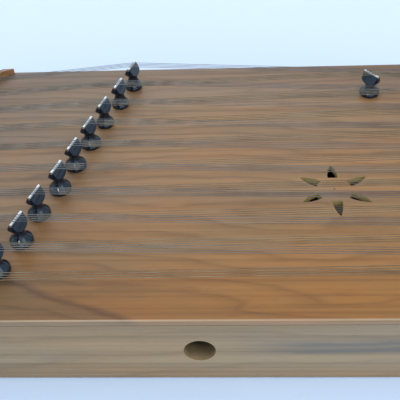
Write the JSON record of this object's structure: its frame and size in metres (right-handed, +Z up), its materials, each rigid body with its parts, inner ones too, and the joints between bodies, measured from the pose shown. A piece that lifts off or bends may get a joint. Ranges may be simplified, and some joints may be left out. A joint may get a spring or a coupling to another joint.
{
  "type": "hammered box zither",
  "caption": "Trapezoidal hammered zither: flat sound box, slanted nuts, loose turned bridges under courses of wire strings, hitch pins on one side and turning pins on the other.",
  "frame": {"origin": "centre of the underside's bounding rectangle, on the surface that the instrument rests on", "axes": "+X along the strings towards the turning pins, +Y away from the player towards the short side, +Z up"},
  "size_m": [0.892, 0.28, 0.0826],
  "materials": {
    "walnut_top": "satin lacquer",
    "walnut_side": "satin lacquer",
    "walnut_back": "satin lacquer",
    "hardwood_block": "satin lacquer",
    "nut_wood": "satin lacquer",
    "post_wood": "bare",
    "ebonised_wood": "polished black",
    "steel_rod": "polished",
    "pin_steel": "nickel plated",
    "steel_wire": "drawn",
    "brass_wire": "drawn"
  },
  "bodies": {
    "sound_box": {"soundboard": "walnut_top", "back_plate": "walnut_back", "front_rail": "walnut_side", "back_rail": "walnut_side", "hitch_block": "hardwood_block", "pin_block": "hardwood_block", "left_nut": "nut_wood", "right_nut": "nut_wood", "left_nut_rod": "steel_rod", "right_nut_rod": "steel_rod", "sound_posts": "post_wood", "hitch_pins": "pin_steel", "tuning_pins": "pin_steel", "treble_strings": "steel_wire", "bass_strings": "brass_wire"},
    "treble_bridge_1": {"treble_bridge_1": "ebonised_wood", "treble_bridge_rod_1": "steel_rod"},
    "treble_bridge_2": {"treble_bridge_2": "ebonised_wood", "treble_bridge_rod_2": "steel_rod"},
    "treble_bridge_3": {"treble_bridge_3": "ebonised_wood", "treble_bridge_rod_3": "steel_rod"},
    "treble_bridge_4": {"treble_bridge_4": "ebonised_wood", "treble_bridge_rod_4": "steel_rod"},
    "treble_bridge_5": {"treble_bridge_5": "ebonised_wood", "treble_bridge_rod_5": "steel_rod"},
    "treble_bridge_6": {"treble_bridge_6": "ebonised_wood", "treble_bridge_rod_6": "steel_rod"},
    "treble_bridge_7": {"treble_bridge_7": "ebonised_wood", "treble_bridge_rod_7": "steel_rod"},
    "treble_bridge_8": {"treble_bridge_8": "ebonised_wood", "treble_bridge_rod_8": "steel_rod"},
    "treble_bridge_9": {"treble_bridge_9": "ebonised_wood", "treble_bridge_rod_9": "steel_rod"},
    "bass_bridge_1": {"bass_bridge_1": "ebonised_wood", "bass_bridge_rod_1": "steel_rod"},
    "bass_bridge_2": {"bass_bridge_2": "ebonised_wood", "bass_bridge_rod_2": "steel_rod"},
    "bass_bridge_3": {"bass_bridge_3": "ebonised_wood", "bass_bridge_rod_3": "steel_rod"},
    "bass_bridge_4": {"bass_bridge_4": "ebonised_wood", "bass_bridge_rod_4": "steel_rod"},
    "bass_bridge_5": {"bass_bridge_5": "ebonised_wood", "bass_bridge_rod_5": "steel_rod"},
    "bass_bridge_6": {"bass_bridge_6": "ebonised_wood", "bass_bridge_rod_6": "steel_rod"},
    "bass_bridge_7": {"bass_bridge_7": "ebonised_wood", "bass_bridge_rod_7": "steel_rod"},
    "bass_bridge_8": {"bass_bridge_8": "ebonised_wood", "bass_bridge_rod_8": "steel_rod"},
    "bass_bridge_9": {"bass_bridge_9": "ebonised_wood", "bass_bridge_rod_9": "steel_rod"},
    "tuning_pin_1": {"tuning_pin_1": "pin_steel"},
    "tuning_pin_2": {"tuning_pin_2": "pin_steel"},
    "tuning_pin_3": {"tuning_pin_3": "pin_steel"},
    "tuning_pin_4": {"tuning_pin_4": "pin_steel"},
    "tuning_pin_5": {"tuning_pin_5": "pin_steel"},
    "tuning_pin_6": {"tuning_pin_6": "pin_steel"},
    "tuning_pin_7": {"tuning_pin_7": "pin_steel"},
    "tuning_pin_8": {"tuning_pin_8": "pin_steel"},
    "tuning_pin_9": {"tuning_pin_9": "pin_steel"}
  },
  "joints": [
    {"name": "treble_bridge_1_slide", "type": "slide", "parent": "sound_box", "child": "treble_bridge_1", "axis": [1, 0, 0], "range_m": [-0.005, 0.005], "deforming": ["treble_strings"]},
    {"name": "treble_bridge_2_slide", "type": "slide", "parent": "sound_box", "child": "treble_bridge_2", "axis": [1, 0, 0], "range_m": [-0.005, 0.005], "deforming": ["treble_strings"]},
    {"name": "treble_bridge_3_slide", "type": "slide", "parent": "sound_box", "child": "treble_bridge_3", "axis": [1, 0, 0], "range_m": [-0.005, 0.005], "deforming": ["treble_strings"]},
    {"name": "treble_bridge_4_slide", "type": "slide", "parent": "sound_box", "child": "treble_bridge_4", "axis": [1, 0, 0], "range_m": [-0.005, 0.005], "deforming": ["treble_strings"]},
    {"name": "treble_bridge_5_slide", "type": "slide", "parent": "sound_box", "child": "treble_bridge_5", "axis": [1, 0, 0], "range_m": [-0.005, 0.005], "deforming": ["treble_strings"]},
    {"name": "treble_bridge_6_slide", "type": "slide", "parent": "sound_box", "child": "treble_bridge_6", "axis": [1, 0, 0], "range_m": [-0.005, 0.005], "deforming": ["treble_strings"]},
    {"name": "treble_bridge_7_slide", "type": "slide", "parent": "sound_box", "child": "treble_bridge_7", "axis": [1, 0, 0], "range_m": [-0.005, 0.005], "deforming": ["treble_strings"]},
    {"name": "treble_bridge_8_slide", "type": "slide", "parent": "sound_box", "child": "treble_bridge_8", "axis": [1, 0, 0], "range_m": [-0.005, 0.005], "deforming": ["treble_strings"]},
    {"name": "treble_bridge_9_slide", "type": "slide", "parent": "sound_box", "child": "treble_bridge_9", "axis": [1, 0, 0], "range_m": [-0.005, 0.005], "deforming": ["treble_strings"]},
    {"name": "bass_bridge_1_slide", "type": "slide", "parent": "sound_box", "child": "bass_bridge_1", "axis": [1, 0, 0], "range_m": [-0.005, 0.005], "deforming": ["bass_strings"]},
    {"name": "bass_bridge_2_slide", "type": "slide", "parent": "sound_box", "child": "bass_bridge_2", "axis": [1, 0, 0], "range_m": [-0.005, 0.005], "deforming": ["bass_strings"]},
    {"name": "bass_bridge_3_slide", "type": "slide", "parent": "sound_box", "child": "bass_bridge_3", "axis": [1, 0, 0], "range_m": [-0.005, 0.005], "deforming": ["bass_strings"]},
    {"name": "bass_bridge_4_slide", "type": "slide", "parent": "sound_box", "child": "bass_bridge_4", "axis": [1, 0, 0], "range_m": [-0.005, 0.005], "deforming": ["bass_strings"]},
    {"name": "bass_bridge_5_slide", "type": "slide", "parent": "sound_box", "child": "bass_bridge_5", "axis": [1, 0, 0], "range_m": [-0.005, 0.005], "deforming": ["bass_strings"]},
    {"name": "bass_bridge_6_slide", "type": "slide", "parent": "sound_box", "child": "bass_bridge_6", "axis": [1, 0, 0], "range_m": [-0.005, 0.005], "deforming": ["bass_strings"]},
    {"name": "bass_bridge_7_slide", "type": "slide", "parent": "sound_box", "child": "bass_bridge_7", "axis": [1, 0, 0], "range_m": [-0.005, 0.005], "deforming": ["bass_strings"]},
    {"name": "bass_bridge_8_slide", "type": "slide", "parent": "sound_box", "child": "bass_bridge_8", "axis": [1, 0, 0], "range_m": [-0.005, 0.005], "deforming": ["bass_strings"]},
    {"name": "bass_bridge_9_slide", "type": "slide", "parent": "sound_box", "child": "bass_bridge_9", "axis": [1, 0, 0], "range_m": [-0.005, 0.005], "deforming": ["bass_strings"]},
    {"name": "tuning_pin_1_turn", "type": "hinge", "parent": "sound_box", "child": "tuning_pin_1", "pos_m": [0.20788, 0.11582, 0.046], "axis": [0.7263, 0.6874, 0], "continuous": true},
    {"name": "tuning_pin_2_turn", "type": "hinge", "parent": "sound_box", "child": "tuning_pin_2", "pos_m": [0.23276, 0.08954, 0.046], "axis": [0.7263, 0.6874, 0], "continuous": true},
    {"name": "tuning_pin_3_turn", "type": "hinge", "parent": "sound_box", "child": "tuning_pin_3", "pos_m": [0.25764, 0.06325, 0.046], "axis": [0.7263, 0.6874, 0], "continuous": true},
    {"name": "tuning_pin_4_turn", "type": "hinge", "parent": "sound_box", "child": "tuning_pin_4", "pos_m": [0.28252, 0.03696, 0.046], "axis": [0.7263, 0.6874, 0], "continuous": true},
    {"name": "tuning_pin_5_turn", "type": "hinge", "parent": "sound_box", "child": "tuning_pin_5", "pos_m": [0.3074, 0.01067, 0.046], "axis": [0.7263, 0.6874, 0], "continuous": true},
    {"name": "tuning_pin_6_turn", "type": "hinge", "parent": "sound_box", "child": "tuning_pin_6", "pos_m": [0.33228, -0.01561, 0.046], "axis": [0.7263, 0.6874, 0], "continuous": true},
    {"name": "tuning_pin_7_turn", "type": "hinge", "parent": "sound_box", "child": "tuning_pin_7", "pos_m": [0.35716, -0.0419, 0.046], "axis": [0.7263, 0.6874, 0], "continuous": true},
    {"name": "tuning_pin_8_turn", "type": "hinge", "parent": "sound_box", "child": "tuning_pin_8", "pos_m": [0.38203, -0.06819, 0.046], "axis": [0.7263, 0.6874, 0], "continuous": true},
    {"name": "tuning_pin_9_turn", "type": "hinge", "parent": "sound_box", "child": "tuning_pin_9", "pos_m": [0.40691, -0.09448, 0.046], "axis": [0.7263, 0.6874, 0], "continuous": true}
  ]
}
